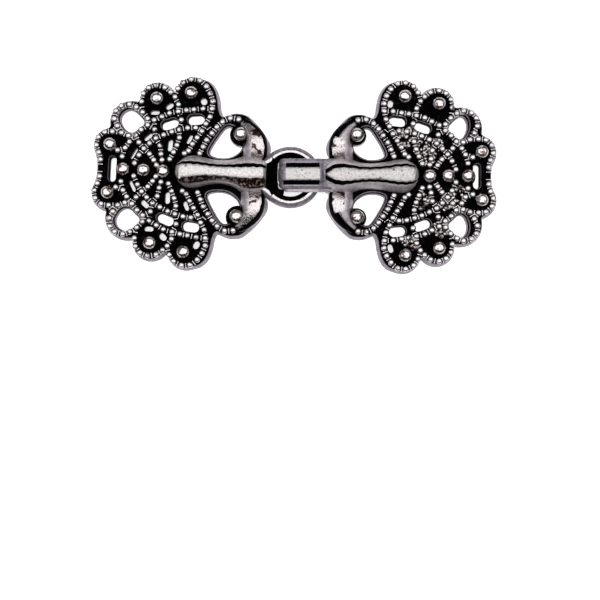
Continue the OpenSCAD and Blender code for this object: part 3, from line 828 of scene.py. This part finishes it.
# A darker copy of the cast wall metal: painted shade on the plate's outer walls, the undersides and the
# sides of the tongue, ring and struts
side = metal("cast_side_painted_shade", (0.21, 0.188, 0.222), (0.155, 0.137, 0.163), (0.4, 0.6), 0.42, 0.00002,
             shine=0.8)
flood = metal("flooded_metal", (0.03, 0.022, 0.022), (0.46, 0.42, 0.42), (0.3, 0.5), 0.46, 0.00005,
              spot_at=2600)
# Black patina in the hollows; the same black is painted dark reflection by the crowns of the bars and arms,
# on the ring's inside and on the struts
patina_and_painted_reflection = metal("black_patina_and_painted_reflection", (0.0004, 0.0003, 0.0004), (0.004, 0.003, 0.003), (0.5, 0.8), 0.33,
               0.00002, shine=0)
patina_and_painted_reflection.node_tree.nodes["Principled BSDF"].inputs["Specular IOR Level"].default_value = 0.01
MATERIALS = [nickel, frost, wall, patina_and_painted_reflection, worn, dome, bright, painted_dark_band, side, flood]

# The two halves
eye = Cast()
add_ring(eye)
counts = add_fan(eye, EYE_LEN, EYE_NOSE, EYE_GAPS, EYE_BAR, EYE_BAR_MATS, arm_end=40,
                 curl_r=EYE_CURL_R, nudge=0, shut=1, tries=0)
print("eye beads, reels, lumps", counts)
hook = Cast()
add_hook(hook)
counts = add_fan(hook, HOOK_LEN, HOOK_NOSE, HOOK_GAPS, HOOK_BAR, HOOK_BAR_MATS, arm_end=16,
                 curl_r=HOOK_CURL_R, nudge=HOOK_NUDGE, shut=0.6, tries=34)
print("hook beads, reels, lumps", counts)


def eye_place(p):
    """From the eye half's frame, in millimetres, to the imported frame, in metres."""
    turn = math.radians(180 - SWING)
    c, s = math.cos(turn), math.sin(turn)
    x, y = p[0] + EYE_SHIFT[0], p[1] + EYE_SHIFT[1]
    return (x * c - y * s + RING_X) / MM, (x * s + y * c + RING_Y) / MM, p[2] / MM


def hook_place(p):
    """From the hook half's frame, in millimetres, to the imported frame, in metres."""
    return (p[0] + RING_X + HOOK_SHIFT[0]) / MM, (p[1] + RING_Y + HOOK_SHIFT[1]) / MM, p[2] / MM


for cast, name, move in ((eye, "eye_half", eye_place), (hook, "hook_half", hook_place)):
    ob = cast.object(name + "_cast", move)
    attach(ob, "root")
    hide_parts(name)
    print(name, "triangles", sum(len(f) - 2 for f in cast.faces))


# Floor, light and camera
def white_paper():
    """A pale matt paper that glows a little, so that it stays white under soft light."""
    paper = bpy.data.materials.new("white_paper")
    paper.use_nodes = True
    sockets = paper.node_tree.nodes["Principled BSDF"].inputs
    sockets["Base Color"].default_value = (0.7, 0.7, 0.7, 1)
    sockets["Roughness"].default_value = 0.9
    sockets["Specular IOR Level"].default_value = 0
    sockets["Emission Color"].default_value = (1, 1, 1, 1)
    sockets["Emission Strength"].default_value = 0.65
    return paper


def link(name, data):
    ob = bpy.data.objects.new(name, data)
    bpy.context.scene.collection.objects.link(ob)
    return ob


def add_floor():
    """The paper that the clasp lies on."""
    mesh = bpy.data.meshes.new("floor")
    corners = [(x * FLOOR, y * FLOOR, 0) for x, y in ((-1, -1), (1, -1), (1, 1), (-1, 1))]
    mesh.from_pydata(corners, [], [(0, 1, 2, 3)])
    mesh.materials.append(white_paper())
    return link("floor", mesh)


def soft_light(name, at, target, wide, tall, radiance):
    """A rectangle of light, turned to its target."""
    data = bpy.data.lights.new(name, "AREA")
    data.shape = "RECTANGLE"
    data.size, data.size_y = wide, tall
    data.energy = radiance * math.pi * wide * tall
    ob = link(name, data)
    ob.location = at
    ob.rotation_euler = (Vector(target) - Vector(at)).to_track_quat("-Z", "Y").to_euler()
    return ob


def add_world():
    """A dim studio that is brighter near the horizon."""
    world = bpy.data.worlds.new("studio")
    world.use_nodes = True
    t = world.node_tree
    where = t.nodes.new("ShaderNodeTexCoord")
    split = t.nodes.new("ShaderNodeSeparateXYZ")
    tent = t.nodes.new("ShaderNodeValToRGB")
    for element, (at, colour) in zip(tent.color_ramp.elements, SKY_STOPS):
        element.position, element.color = at, colour
    t.links.new(where.outputs["Generated"], split.inputs["Vector"])
    t.links.new(split.outputs["Z"], tent.inputs["Fac"])
    t.links.new(tent.outputs["Color"], t.nodes["Background"].inputs["Color"])
    bpy.context.scene.world = world


def add_camera():
    """The camera straight above, as far up as the photo's, with the photo's width in view."""
    data = bpy.data.cameras.new("camera")
    data.sensor_width = SENSOR
    data.lens = SENSOR * CAMERA_UP / PHOTO_W
    data.clip_start = 0.005
    camera = link("camera", data)
    camera.location = (*CAMERA_OVER, CAMERA_UP / MM)
    camera.rotation_euler = (0, 0, 0)
    bpy.context.scene.camera = camera


floor = add_floor()
soft_light("overhead", (0, 0.05, 0.4), (0, 0, 0), 0.9, 0.42, 2.5)
soft_light("side_glow", (0, 0.5, 0.15), (0, 0, 0), 0.7, 0.25, 0.6)
fill = soft_light("paper_fill", (0, 0, 0.6), (0, 0, 0), 1.2, 1.2, 0.9)
fill.visible_glossy = False
add_world()
add_camera()
bpy.context.scene.view_settings.view_transform = "Standard"
